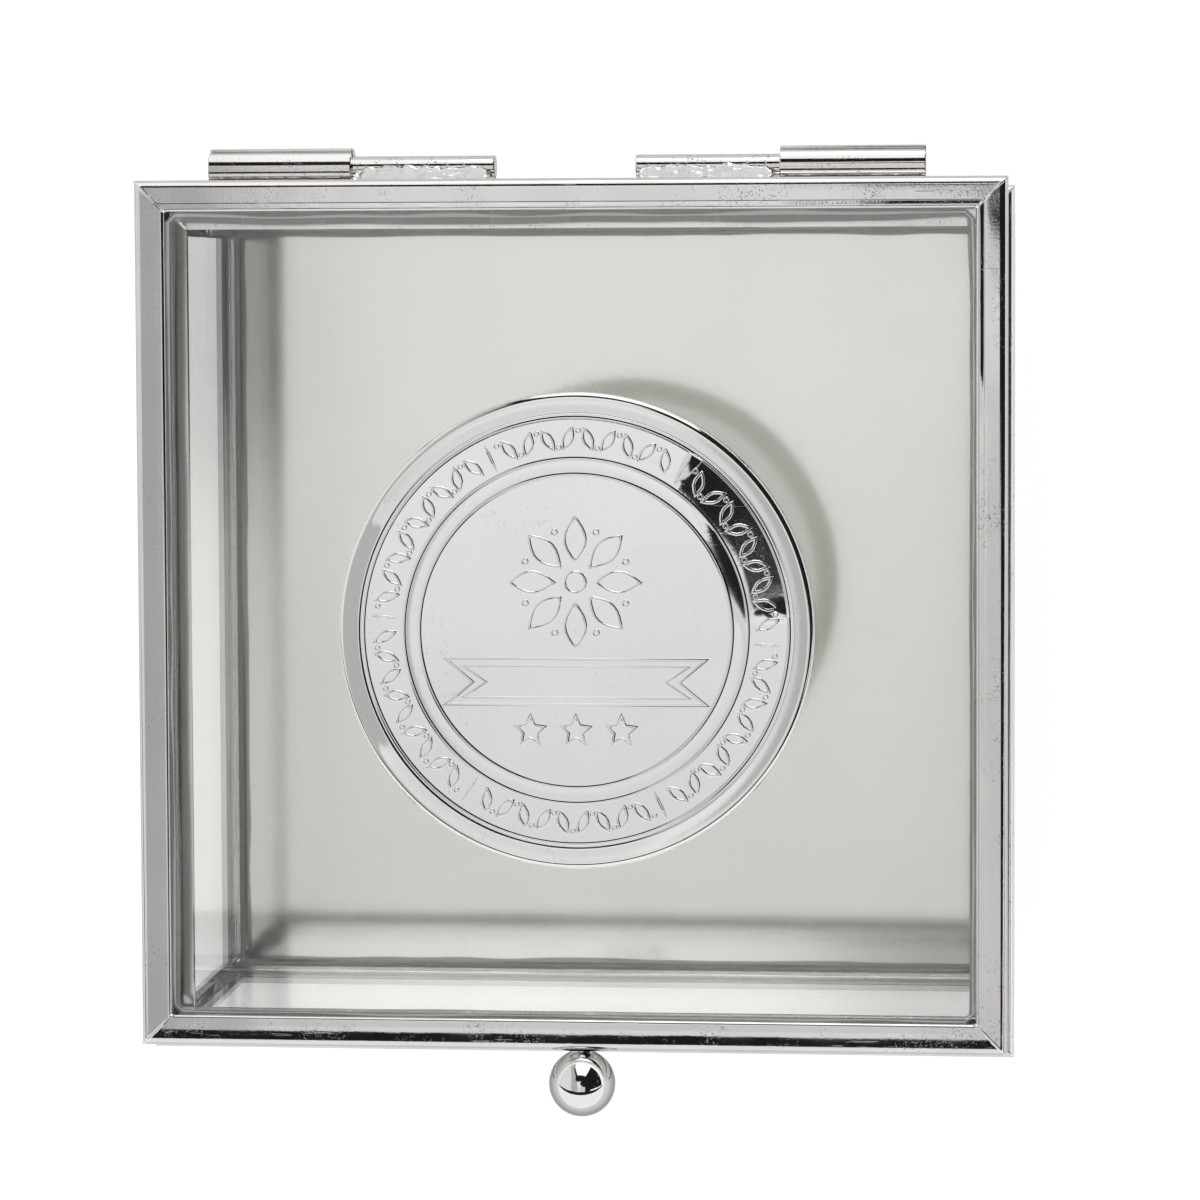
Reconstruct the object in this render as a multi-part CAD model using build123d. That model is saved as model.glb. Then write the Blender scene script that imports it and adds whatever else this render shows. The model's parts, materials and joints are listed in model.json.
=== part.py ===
from build123d import *
import os
from math import atan, cos, degrees, radians, sin, sqrt

# A square glass trinket box: a hinged lid of one pane in a mitred metal frame, a base of four
# panes in angle strips with a mirror floor, a ball knob and a stamped medallion on the lid.
# Millimetres. +Z is up, -Y is the front with the knob, +X is to the right seen from the front.
# The origin is the centre of the base where it stands on its felt.

# Plan size over the metal frames, the same for the base and the lid
BOX_WIDTH = 90.0
BOX_DEPTH = 90.0
# The lid is fitted by hand and sits a little to the left and to the back of the base
LID_SHIFT_X = -0.7
LID_SHIFT_Y = 0.85

# Glass
WALL_HEIGHT = 25.1
WALL_THICKNESS = 3.0
WALL_CORNER_GAP = 0.4
LID_GLASS_THICKNESS = 2.0
MIRROR_THICKNESS = 2.0
SILVERING_THICKNESS = 0.1

# Metal strip, folded into angles for the base and into a channel for the lid
STRIP_THICKNESS = 0.6
ANGLE_WEB_HEIGHT = 4.5
ANGLE_BEND_RADIUS = 0.9
POST_LEG = 4.7
LID_FACE_WIDTH = 3.3
LID_CROWN_WIDTH = 2.0
LID_CROWN_DROP = 0.14
LID_BEND_RADIUS = 0.75
INNER_BEND_RADIUS = 0.25
MITRE_GAP = 0.3

# Felt under the floor
FELT_THICKNESS = 0.8
FELT_DROP = 0.2
FELT_CLEARANCE = 0.3

# Glue beads
LID_BEAD_WIDTH = 0.8
LID_BEAD_HEIGHT = 0.5
FLOOR_BEAD_SIZE = 0.5
BEAD_LAND = 0.05

# Clearances between glass and metal
WALL_STANDOFF = 0.6
WALL_TOP_CLEARANCE = 0.05
MIRROR_EDGE_CLEARANCE = 0.2
LID_GLASS_CLEARANCE = 0.05
LID_GLASS_EDGE_CLEARANCE = 0.2
LID_SEAM = 0.1

# Hinges: a pin on the lid runs in a barrel on the base
PIN_RADIUS = 1.2
PIN_RUNNING_CLEARANCE = 0.05
BARREL_WALL = 0.8
BARREL_LENGTH = 15.0
BARREL_SOLDER_GAP = 0.1
BARREL_SOLDER_ANGLE = 42.0
PIN_EXPOSED_LENGTH = 14.9
PIN_SOLDER_SETBACK = 0.6
PIN_SOLDER_RISE = 2.4
PIN_SOLDER_SAG = 0.3
PIN_SOLDER_CREST_ANGLE = 62.0
PIN_SOLDER_HEEL_ANGLE = 162.0
HINGE_AXIS_DROP = 2.0
HINGE_CENTRE_X = -1.3
HINGE_SIDE_SETBACK = 7.8

# Ball knob on the front of the lid
KNOB_RADIUS = 3.45
KNOB_OFFSET_X = 1.05
KNOB_SOLDER_GAP = 0.15
KNOB_SOLDER_RADIUS = 1.3

# Medallion on the lid glass
MEDALLION_RADIUS = 24.55
MEDALLION_OFFSET_X = 0.8
MEDALLION_OFFSET_Y = -1.4
MEDALLION_FIELD_HEIGHT = 1.2
MEDALLION_RIM_WIDTH = 2.05
MEDALLION_RIM_RISE = 0.5
MEDALLION_BEAD_WIDTH = 0.6
MEDALLION_BEAD_RISE = 0.2
MEDALLION_RING_RADIUS = 16.1
MEDALLION_RING_WIDTH = 1.65
MEDALLION_RING_RISE = 0.35
MEDALLION_EDGE_HEIGHT = 1.1
PAD_RADIUS = 22.0
PAD_THICKNESS = 0.2

# Levels, from the table up
FRAME_UNDERSIDE = FELT_DROP
FLOOR_SEAT = FRAME_UNDERSIDE + STRIP_THICKNESS
MIRROR_UNDERSIDE = FLOOR_SEAT + SILVERING_THICKNESS
MIRROR_TOP = MIRROR_UNDERSIDE + MIRROR_THICKNESS
WALL_TOP = MIRROR_TOP + WALL_HEIGHT
BASE_TOP = WALL_TOP + WALL_TOP_CLEARANCE + STRIP_THICKNESS
LID_UNDERSIDE = BASE_TOP + LID_SEAM
LID_GLASS_UNDERSIDE = LID_UNDERSIDE + STRIP_THICKNESS + LID_GLASS_CLEARANCE
LID_GLASS_TOP = LID_GLASS_UNDERSIDE + LID_GLASS_THICKNESS
LID_FRAME_HEIGHT = 2 * (STRIP_THICKNESS + LID_GLASS_CLEARANCE) + LID_GLASS_THICKNESS
POST_BOTTOM = FRAME_UNDERSIDE + ANGLE_WEB_HEIGHT
POST_TOP = BASE_TOP - ANGLE_WEB_HEIGHT

# The flange of the angle strip reaches in as far as the inner face of the walls
ANGLE_FLANGE = STRIP_THICKNESS + WALL_STANDOFF + WALL_THICKNESS
INSIDE_WIDTH = BOX_WIDTH - 2 * ANGLE_FLANGE
INSIDE_DEPTH = BOX_DEPTH - 2 * ANGLE_FLANGE

BARREL_RADIUS = PIN_RADIUS + PIN_RUNNING_CLEARANCE + BARREL_WALL
HINGE_AXIS_Y = BOX_DEPTH / 2 + BARREL_SOLDER_GAP + BARREL_RADIUS
HINGE_AXIS_Z = BASE_TOP - HINGE_AXIS_DROP
HINGE_INNER_END = BOX_WIDTH / 2 - HINGE_SIDE_SETBACK - BARREL_LENGTH - PIN_EXPOSED_LENGTH
LID_BACK_Y = LID_SHIFT_Y + BOX_DEPTH / 2
LID_FRONT_Y = LID_SHIFT_Y - BOX_DEPTH / 2


def angle_section(web, flange, flange_on_top):
    """An L: the web stands at u = 0, the flange runs inwards, as a face on the YZ plane."""
    t = STRIP_THICKNESS
    r = ANGLE_BEND_RADIUS
    ri = INNER_BEND_RADIUS
    k = 1 - 1 / sqrt(2)
    outline = (
        Line((r, 0), (flange, 0))
        + Line((flange, 0), (flange, t))
        + Line((flange, t), (t + ri, t))
        + ThreePointArc((t + ri, t), (t + ri * k, t + ri * k), (t, t + ri))
        + Line((t, t + ri), (t, web))
        + Line((t, web), (0, web))
        + Line((0, web), (0, r))
        + ThreePointArc((0, r), (r * k, r * k), (r, 0))
    )
    face = make_face(Plane.YZ * outline)
    if flange_on_top:
        face = mirror(face, Plane.XY)
        face = Pos(0, 0, web) * face
    return face


def lid_section():
    """A channel open inwards, crowned on top towards its outer bend, as a face on the YZ plane."""
    t = STRIP_THICKNESS
    h = LID_FRAME_HEIGHT
    w = LID_FACE_WIDTH
    r = LID_BEND_RADIUS
    ri = INNER_BEND_RADIUS
    k = 1 - 1 / sqrt(2)
    c = LID_CROWN_DROP
    # The crown is an arc that leaves the flat face level and falls by the drop at the bend
    crown_run = LID_CROWN_WIDTH - r
    crown_mid_drop = c / 4
    shoulder = (r, h - c)
    outline = (
        Line((w, 0), (w, t))
        + Line((w, t), (t + ri, t))
        + ThreePointArc((t + ri, t), (t + ri * k, t + ri * k), (t, t + ri))
        + Line((t, t + ri), (t, h - t - ri))
        + ThreePointArc((t, h - t - ri), (t + ri * k, h - t - ri * k), (t + ri, h - t))
        + Line((t + ri, h - t), (w, h - t))
        + Line((w, h - t), (w, h))
        + Line((w, h), (LID_CROWN_WIDTH, h))
        + ThreePointArc((LID_CROWN_WIDTH, h), (r + crown_run / 2, h - crown_mid_drop), shoulder)
        + ThreePointArc(shoulder, (r * k, h - c - r * k), (0, h - c - r))
        + Line((0, h - c - r), (0, r))
        + ThreePointArc((0, r), (r * k, r * k), (r, 0))
        + Line((r, 0), (w, 0))
    )
    return make_face(Plane.YZ * outline)


def mitred_bar(section, length, reach, height):
    """The front bar of a frame, outer face at y = 0, with both ends cut back at 45 degrees."""
    setback = MITRE_GAP / sqrt(2)
    half = length / 2 - setback
    plan = Polygon((-half, 0), (half, 0), (half - reach, reach), (reach - half, reach), align=None)
    blank = extrude(section, amount=length / 2, both=True)
    cutter = extrude(plan, amount=height)
    return blank & cutter


def mitre_solder(section, width, depth, reach, height):
    """Four thin fillings of the mitres of a frame of this width and depth, centred on z."""
    blank = extrude(section, amount=width / 2, both=True)
    bar = Pos(0, -depth / 2, 0) * blank
    fill = Rot(0, 0, 45) * Box(4 * reach, MITRE_GAP, 2 * height)
    left = bar & (Pos(-width / 2, -depth / 2, height / 2) * fill)
    right = mirror(left, Plane.YZ)
    back_left = mirror(left, Plane.XZ)
    back_right = mirror(right, Plane.XZ)
    return [left, right, back_left, back_right]


def frame_bars(section, width, depth, reach, height):
    """Front, back, left and right bars of a mitred frame centred on the z axis, foot at z = 0."""
    across = mitred_bar(section, width, reach, height)
    along = mitred_bar(section, depth, reach, height)
    return {
        "front": Pos(0, -depth / 2, 0) * across,
        "back": Pos(0, depth / 2, 0) * Rot(0, 0, 180) * across,
        "left": Pos(-width / 2, 0, 0) * Rot(0, 0, -90) * along,
        "right": Pos(width / 2, 0, 0) * Rot(0, 0, 90) * along,
    }


def base_frame(level, flange_on_top):
    section = angle_section(ANGLE_WEB_HEIGHT, ANGLE_FLANGE, flange_on_top)
    sizes = (BOX_WIDTH, BOX_DEPTH, ANGLE_FLANGE, ANGLE_WEB_HEIGHT)
    place = Pos(0, 0, level)
    bars = {side: place * bar for side, bar in frame_bars(section, *sizes).items()}
    solder = [place * piece for piece in mitre_solder(section, *sizes)]
    return bars, Compound(children=solder)


def lid_frame():
    section = lid_section()
    sizes = (BOX_WIDTH, BOX_DEPTH, LID_FACE_WIDTH, LID_FRAME_HEIGHT)
    place = Pos(LID_SHIFT_X, LID_SHIFT_Y, LID_UNDERSIDE)
    bars = {side: place * bar for side, bar in frame_bars(section, *sizes).items()}
    solder = [place * piece for piece in mitre_solder(section, *sizes)]
    return bars, Compound(children=solder)


def corner_posts():
    """Upright angles at the four corners, between the bottom and the top frame."""
    t = STRIP_THICKNESS
    legs = Rectangle(POST_LEG, POST_LEG, align=(Align.MIN, Align.MIN))
    hollow = Pos(t, t) * Rectangle(POST_LEG, POST_LEG, align=(Align.MIN, Align.MIN))
    post = extrude(legs - hollow, amount=POST_TOP - POST_BOTTOM)
    bend = post.edges().filter_by(Axis.Z).sort_by(lambda e: e.center().X + e.center().Y)[0]
    post = fillet(bend, ANGLE_BEND_RADIUS)
    front_left = Pos(-BOX_WIDTH / 2, -BOX_DEPTH / 2, POST_BOTTOM) * post
    front_right = mirror(front_left, Plane.YZ)
    return {
        "front_left": front_left,
        "front_right": front_right,
        "back_left": mirror(front_left, Plane.XZ),
        "back_right": mirror(front_right, Plane.XZ),
    }


def glass_walls():
    """The front and back panes run the full width, the side panes stand between them."""
    on_floor = (Align.CENTER, Align.CENTER, Align.MIN)
    wide = Box(INSIDE_WIDTH + 2 * WALL_THICKNESS, WALL_THICKNESS, WALL_HEIGHT, align=on_floor)
    deep = Box(WALL_THICKNESS, INSIDE_DEPTH - 2 * WALL_CORNER_GAP, WALL_HEIGHT, align=on_floor)
    y = (INSIDE_DEPTH + WALL_THICKNESS) / 2
    x = (INSIDE_WIDTH + WALL_THICKNESS) / 2
    return {
        "front": Pos(0, -y, MIRROR_TOP) * wide,
        "back": Pos(0, y, MIRROR_TOP) * wide,
        "left": Pos(-x, 0, MIRROR_TOP) * deep,
        "right": Pos(x, 0, MIRROR_TOP) * deep,
    }


def floor_sheet(thickness, level):
    inset = 2 * (STRIP_THICKNESS + MIRROR_EDGE_CLEARANCE)
    sheet = Box(
        BOX_WIDTH - inset, BOX_DEPTH - inset, thickness, align=(Align.CENTER, Align.CENTER, Align.MIN)
    )
    return Pos(0, 0, level) * sheet


def felt_pad():
    width = INSIDE_WIDTH - 2 * FELT_CLEARANCE
    depth = INSIDE_DEPTH - 2 * FELT_CLEARANCE
    return extrude(RectangleRounded(width, depth, ANGLE_BEND_RADIUS), amount=FELT_THICKNESS)


def glue_bead(width, depth, foot_width, height):
    """A bead round the inside of a rectangle, sloping from a narrow land on top to its foot."""
    block = extrude(Rectangle(width, depth), amount=height)
    foot = Rectangle(width - 2 * foot_width, depth - 2 * foot_width)
    slope = degrees(atan((foot_width - BEAD_LAND) / height))
    return block - extrude(foot, amount=height, taper=-slope)


def floor_bead():
    """Glue in the angle between the walls and the mirror."""
    bead = glue_bead(INSIDE_WIDTH, INSIDE_DEPTH, FLOOR_BEAD_SIZE, FLOOR_BEAD_SIZE)
    return Pos(0, 0, MIRROR_TOP) * bead


def lid_glass():
    inset = 2 * (STRIP_THICKNESS + LID_GLASS_EDGE_CLEARANCE)
    pane = Box(
        BOX_WIDTH - inset,
        BOX_DEPTH - inset,
        LID_GLASS_THICKNESS,
        align=(Align.CENTER, Align.CENTER, Align.MIN),
    )
    return Pos(LID_SHIFT_X, LID_SHIFT_Y, LID_GLASS_UNDERSIDE) * pane


def lid_bead():
    """Glue on the lid glass along the inner edge of the frame."""
    width = BOX_WIDTH - 2 * LID_FACE_WIDTH
    depth = BOX_DEPTH - 2 * LID_FACE_WIDTH
    bead = glue_bead(width, depth, LID_BEAD_WIDTH, LID_BEAD_HEIGHT)
    return Pos(LID_SHIFT_X, LID_SHIFT_Y, LID_GLASS_TOP) * bead


def hinge_pin():
    """The right pin with its foot at x = 0, the inner end of the hinge."""
    length = PIN_EXPOSED_LENGTH + BARREL_LENGTH
    return extrude(Plane.YZ * Circle(PIN_RADIUS), amount=length)


def hinge_barrel():
    ring = Circle(BARREL_RADIUS) - Circle(PIN_RADIUS + PIN_RUNNING_CLEARANCE)
    return Pos(PIN_EXPOSED_LENGTH, 0, 0) * extrude(Plane.YZ * ring, amount=BARREL_LENGTH)


def on_circle(radius, degrees):
    return (radius * cos(radians(degrees)), radius * sin(radians(degrees)))


def barrel_solder():
    """Solder between the barrel and the back of the base, seen along the hinge axis."""
    wall = BOX_DEPTH / 2 - HINGE_AXIS_Y
    upper = on_circle(BARREL_RADIUS, 180 - BARREL_SOLDER_ANGLE)
    lower = on_circle(BARREL_RADIUS, 180 + BARREL_SOLDER_ANGLE)
    outline = Polygon((wall, -upper[1]), lower, (0, 0), upper, (wall, upper[1]), align=None)
    bar = extrude(Plane.YZ * outline, amount=BARREL_LENGTH)
    bar = bar - extrude(Plane.YZ * Circle(BARREL_RADIUS), amount=BARREL_LENGTH)
    return Pos(PIN_EXPOSED_LENGTH, 0, 0) * bar


def pin_solder():
    """Solder from the pin up to the back of the lid frame, seen along the hinge axis."""
    wall = LID_BACK_Y - HINGE_AXIS_Y
    foot = LID_UNDERSIDE - HINGE_AXIS_Z
    start = (wall, foot + PIN_SOLDER_RISE)
    crest = on_circle(PIN_RADIUS, PIN_SOLDER_CREST_ANGLE)
    heel = on_circle(PIN_RADIUS, PIN_SOLDER_HEEL_ANGLE)
    dip = PIN_SOLDER_SAG / sqrt(2)
    sag = ((start[0] + crest[0]) / 2 - dip, (start[1] + crest[1]) / 2 - dip)
    outline = (
        ThreePointArc(start, sag, crest)
        + Line(crest, (0, 0))
        + Line((0, 0), heel)
        + Line(heel, (wall, heel[1]))
        + Line((wall, heel[1]), start)
    )
    length = PIN_EXPOSED_LENGTH - 2 * PIN_SOLDER_SETBACK
    bar = extrude(make_face(Plane.YZ * outline), amount=length, dir=(1, 0, 0))
    bar = bar - extrude(Plane.YZ * Circle(PIN_RADIUS), amount=length)
    return Pos(PIN_SOLDER_SETBACK, 0, 0) * bar


def place_hinge(piece, side):
    """Puts a piece of the right hinge on the axis, or its mirror image on the left."""
    placed = Pos(HINGE_INNER_END, HINGE_AXIS_Y, HINGE_AXIS_Z) * piece
    if side == "left":
        placed = mirror(placed, Plane.YZ)
    return Pos(HINGE_CENTRE_X, 0, 0) * placed


def knob_place():
    z = LID_UNDERSIDE + LID_FRAME_HEIGHT / 2
    y = LID_FRONT_Y - KNOB_SOLDER_GAP - KNOB_RADIUS
    return Pos(LID_SHIFT_X + KNOB_OFFSET_X, y, z)


def knob_ball():
    return knob_place() * Sphere(KNOB_RADIUS)


def knob_solder():
    """A short neck of solder that fills the gap between the frame and the ball."""
    reach = KNOB_SOLDER_GAP + KNOB_RADIUS
    neck = extrude(Plane.XZ * Circle(KNOB_SOLDER_RADIUS), amount=-reach)
    return knob_place() * (neck - Sphere(KNOB_RADIUS))


def medallion_place(level):
    return Pos(LID_SHIFT_X + MEDALLION_OFFSET_X, LID_SHIFT_Y + MEDALLION_OFFSET_Y, level)


def medallion():
    """A disc turned from its section: rim, fine bead, sunk band, ring and sunk field."""
    field = MEDALLION_FIELD_HEIGHT
    rim_in = MEDALLION_RADIUS - MEDALLION_RIM_WIDTH
    bead_in = rim_in - MEDALLION_BEAD_WIDTH
    ring_in = MEDALLION_RING_RADIUS
    ring_out = MEDALLION_RING_RADIUS + MEDALLION_RING_WIDTH
    rim_top = (MEDALLION_RADIUS - MEDALLION_RIM_WIDTH / 2, field + MEDALLION_RIM_RISE)
    bead_top = (rim_in - MEDALLION_BEAD_WIDTH / 2, field + MEDALLION_BEAD_RISE)
    ring_top = (ring_in + MEDALLION_RING_WIDTH / 2, field + MEDALLION_RING_RISE)
    outline = (
        Line((0, 0), (MEDALLION_RADIUS, 0))
        + Line((MEDALLION_RADIUS, 0), (MEDALLION_RADIUS, MEDALLION_EDGE_HEIGHT))
        + ThreePointArc((MEDALLION_RADIUS, MEDALLION_EDGE_HEIGHT), rim_top, (rim_in, field))
        + ThreePointArc((rim_in, field), bead_top, (bead_in, field))
        + Line((bead_in, field), (ring_out, field))
        + ThreePointArc((ring_out, field), ring_top, (ring_in, field))
        + Line((ring_in, field), (0, field))
        + Line((0, field), (0, 0))
    )
    disc = revolve(make_face(Plane.XZ * outline), Axis.Z)
    return medallion_place(LID_GLASS_TOP + PAD_THICKNESS) * disc


def medallion_pad():
    return medallion_place(LID_GLASS_TOP) * extrude(Circle(PAD_RADIUS), amount=PAD_THICKNESS)


def build_nodes():
    top_bars, top_solder = base_frame(BASE_TOP - ANGLE_WEB_HEIGHT, flange_on_top=True)
    bottom_bars, bottom_solder = base_frame(FRAME_UNDERSIDE, flange_on_top=False)
    lid_bars, lid_solder = lid_frame()
    nodes = {
        "base_top_corner_solder": top_solder,
        "base_bottom_corner_solder": bottom_solder,
        "lid_corner_solder": lid_solder,
        "mirror_floor": floor_sheet(MIRROR_THICKNESS, MIRROR_UNDERSIDE),
        "mirror_silvering": floor_sheet(SILVERING_THICKNESS, FLOOR_SEAT),
        "floor_glue_bead": floor_bead(),
        "base_felt": felt_pad(),
        "lid_glass": lid_glass(),
        "lid_glue_bead": lid_bead(),
        "knob_ball": knob_ball(),
        "knob_solder": knob_solder(),
        "medallion": medallion(),
        "medallion_adhesive_pad": medallion_pad(),
    }
    for side, bar in top_bars.items():
        nodes["base_top_frame_" + side] = bar
    for side, bar in bottom_bars.items():
        nodes["base_bottom_frame_" + side] = bar
    for side, bar in lid_bars.items():
        nodes["lid_frame_" + side] = bar
    for side, pane in glass_walls().items():
        nodes["wall_glass_" + side] = pane
    for corner, post in corner_posts().items():
        nodes["corner_post_" + corner] = post
    for side in ("left", "right"):
        nodes["hinge_pin_" + side] = place_hinge(hinge_pin(), side)
        nodes["pin_solder_" + side] = place_hinge(pin_solder(), side)
        nodes["hinge_barrel_" + side] = place_hinge(hinge_barrel(), side)
        nodes["barrel_solder_" + side] = place_hinge(barrel_solder(), side)
    return nodes


os.makedirs("parts", exist_ok=True)
for name, shape in build_nodes().items():
    export_step(shape, "parts/" + name + ".step")
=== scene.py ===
import json
import math

import bmesh
import bpy
from mathutils import Matrix, Vector, noise


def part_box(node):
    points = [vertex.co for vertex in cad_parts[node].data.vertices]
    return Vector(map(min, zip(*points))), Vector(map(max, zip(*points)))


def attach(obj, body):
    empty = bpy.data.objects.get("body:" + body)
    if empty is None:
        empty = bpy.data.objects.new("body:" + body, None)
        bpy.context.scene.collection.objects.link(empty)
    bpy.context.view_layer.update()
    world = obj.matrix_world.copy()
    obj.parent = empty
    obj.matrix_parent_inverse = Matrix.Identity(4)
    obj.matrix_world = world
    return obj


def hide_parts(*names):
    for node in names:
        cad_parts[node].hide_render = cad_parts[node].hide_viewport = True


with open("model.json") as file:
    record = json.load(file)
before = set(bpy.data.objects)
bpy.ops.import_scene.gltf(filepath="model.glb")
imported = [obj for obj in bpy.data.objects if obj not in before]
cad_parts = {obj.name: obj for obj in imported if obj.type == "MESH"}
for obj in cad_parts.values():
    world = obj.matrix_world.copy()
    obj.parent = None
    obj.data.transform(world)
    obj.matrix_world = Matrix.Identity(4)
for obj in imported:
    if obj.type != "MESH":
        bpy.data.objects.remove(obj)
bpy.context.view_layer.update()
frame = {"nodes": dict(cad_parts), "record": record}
cadNodes = frame["nodes"]
mm = 0.001
print("frame loaded:", len(cadNodes), "nodes")


def boxOf(node):
    # Low and high corners of a CAD node in millimetres
    low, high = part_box(node)
    return low / mm, high / mm


# Node helpers

def feed(tree, node, inputs):
    # Another node's output is linked to its socket; a number, place or colour is set on it
    for key, value in inputs.items():
        socket = node.inputs[key]
        if isinstance(value, bpy.types.NodeSocket):
            tree.links.new(value, socket)
        else:
            socket.default_value = (*value, 1) if socket.type == "RGBA" else value
    return node


def addNode(tree, kind, inputs):
    return feed(tree, tree.nodes.new(kind), inputs)


def newMaterial(name):
    material = bpy.data.materials.new(name)
    material.use_nodes = True
    return material, material.node_tree, material.node_tree.nodes["Principled BSDF"]


def objectPlace(tree, stretch=(1, 1, 1), turn=0.0):
    # Object coordinates, in metres, through a mapping that stretches and turns the pattern
    place = addNode(tree, "ShaderNodeTexCoord", {}).outputs["Object"]
    mapping = addNode(tree, "ShaderNodeMapping", {"Vector": place, "Scale": stretch, "Rotation": (0, 0, turn)})
    return mapping.outputs["Vector"]


def noiseOf(tree, place, size, detail=3.0, rough=0.5, distortion=0.0):
    # size is the width of one blotch in millimetres
    return addNode(tree, "ShaderNodeTexNoise", {
        "Vector": place, "Scale": 1 / (size * mm), "Detail": detail, "Roughness": rough,
        "Distortion": distortion}).outputs["Fac"]


def remap(tree, value, fromLow, fromHigh, toLow=0.0, toHigh=1.0):
    node = addNode(tree, "ShaderNodeMapRange", {
        "Value": value, "From Min": fromLow, "From Max": fromHigh, "To Min": toLow, "To Max": toHigh})
    node.interpolation_type = "SMOOTHSTEP"
    return node.outputs["Result"]


def maths(tree, operation, first, second=0.0):
    node = addNode(tree, "ShaderNodeMath", {0: first, 1: second})
    node.operation = operation
    return node.outputs["Value"]


def mixColour(tree, share, first, second):
    node = tree.nodes.new("ShaderNodeMix")
    node.data_type = "RGBA"
    return feed(tree, node, {0: share, 6: first, 7: second}).outputs[2]


def mixValue(tree, share, first, second):
    return addNode(tree, "ShaderNodeMix", {0: share, 2: first, 3: second}).outputs[0]


def bumpOf(tree, height, depth, below=None):
    # depth is how far a height of 1 stands up, in millimetres
    node = addNode(tree, "ShaderNodeBump", {"Height": height, "Strength": 1.0, "Distance": depth * mm})
    return feed(tree, node, {"Normal": below} if below is not None else {}).outputs["Normal"]


# Materials

def platedMetal(name, look):
    # Bright plating over thin strip: slow waves, fine grain, patches of pits, a few hairline scratches
    material, tree, shader = newMaterial(name)
    place = objectPlace(tree)
    waves = noiseOf(tree, place, look["waveSize"], detail=1.0)
    grain = noiseOf(tree, place, look["grainSize"])
    patches = remap(tree, noiseOf(tree, place, look["patchSize"], detail=4.0, rough=0.65), *look["patches"])
    specks = noiseOf(tree, place, look["pitSize"], detail=2.0, rough=0.6, distortion=0.6)
    pits = maths(tree, "MULTIPLY", remap(tree, specks, *look["pits"]), patches)
    drawn = objectPlace(tree, stretch=(1.0, look["scratchStretch"], 1.0), turn=look["scratchTurn"])
    lines = noiseOf(tree, drawn, look["scratchSize"], detail=2.0, rough=0.6)
    bump = None
    for height, depth in ((waves, "waveDepth"), (grain, "grainDepth"),
                          (maths(tree, "SUBTRACT", 1.0, pits), "pitDepth"),
                          (remap(tree, lines, *look["scratches"]), "scratchDepth")):
        bump = bumpOf(tree, height, look[depth], bump)
    tone = mixColour(tree, remap(tree, waves, *look["shadeFrom"]), look["colour"], look["shade"])
    tone = mixColour(tree, pits, tone, look["pitColour"])
    if "limbFrom" in look:
        # Painted shade: a small ball darkens towards its outline
        facing = addNode(tree, "ShaderNodeLayerWeight", {"Blend": 0.5}).outputs["Facing"]
        tone = mixColour(tree, remap(tree, facing, *look["limbFrom"]), tone, look["limbShadeColour"])
    clouds = noiseOf(tree, place, look["hazeSize"], detail=5.0, rough=0.6)
    haze = remap(tree, clouds, *look["hazeFrom"], *look["roughness"])
    if "scuffed" in look:
        # The upward face that the lid shuts on is dulled
        normal = addNode(tree, "ShaderNodeNewGeometry", {}).outputs["Normal"]
        upward = addNode(tree, "ShaderNodeSeparateXYZ", {"Vector": normal}).outputs["Z"]
        haze = maths(tree, "MAXIMUM", haze, remap(tree, upward, *look["upwardFrom"], 0.0, look["scuffed"]))
    feed(tree, shader, {"Base Color": tone, "Roughness": haze, "Normal": bump, "Metallic": 1.0})
    return material


frameLook = {
    "colour": (0.75, 0.735, 0.72), "shade": (0.71, 0.695, 0.68), "pitColour": (0.42, 0.41, 0.40),
    "roughness": (0.035, 0.09), "hazeSize": 6, "hazeFrom": (0.35, 0.7), "shadeFrom": (0.3, 0.7),
    "waveSize": 9, "waveDepth": 0.05, "grainSize": 0.26, "grainDepth": 0.0022,  # all in millimetres
    # Pits are where fine noise passes these levels, inside the patches where coarse noise does
    "pits": (0.60, 0.68), "pitSize": 0.22, "pitDepth": 0.006, "patches": (0.46, 0.68), "patchSize": 5,
    "scratches": (0.66, 0.72), "scratchSize": 9, "scratchDepth": 0.002, "scratchStretch": 22.0,
    "scratchTurn": 0.5,
}
# Painted light: the base's strips are the frame's plating in a lighter copy, brightened where the glass walls
# and lid show them
paintedLightBaseLook = dict(frameLook, colour=(0.93, 0.925, 0.92), shade=(0.89, 0.885, 0.88), scuffed=0.16,
                upwardFrom=(0.6, 0.9))
hingeLook = dict(frameLook, waveSize=14, waveDepth=0.03, patchSize=4)
rodLook = dict(frameLook, patches=(0.30, 0.50), pitSize=0.40, pitDepth=0.05, waveSize=3, waveDepth=0.02)
# The knob's limb colour is painted shade that darkens the ball towards its outline
knobLook = dict(
    frameLook, colour=(0.82, 0.81, 0.80), shade=(0.80, 0.79, 0.78), roughness=(0.015, 0.04),
    waveSize=6, waveDepth=0.004, patchSize=3, patches=(0.60, 0.72), pitSize=0.35, scratchDepth=0,
    limbFrom=(0.25, 0.80), limbShadeColour=(0.30, 0.30, 0.29))
medallionLook = dict(
    frameLook, colour=(0.87, 0.865, 0.85), shade=(0.85, 0.845, 0.83), pitColour=(0.78, 0.77, 0.76),
    roughness=(0.05, 0.10), waveSize=12, waveDepth=0.02, grainSize=0.35, grainDepth=0.0018,
    patchSize=9, pitSize=0.5, pitDepth=0.002, scratchDepth=0.001)
solderLook = dict(
    frameLook, colour=(0.94, 0.94, 0.935), shade=(0.84, 0.84, 0.83), roughness=(0.08, 0.20),
    waveSize=0.9, waveDepth=0.035, grainSize=0.3, grainDepth=0.008, patchSize=3, pitDepth=0.02)
frameMetal = platedMetal("frameMetal", frameLook)
paintedLightBaseMetal = platedMetal("paintedLightBaseMetal", paintedLightBaseLook)
hingeMetal = platedMetal("hingeMetal", hingeLook)
rodMetal = platedMetal("rodMetal", rodLook)
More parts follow.
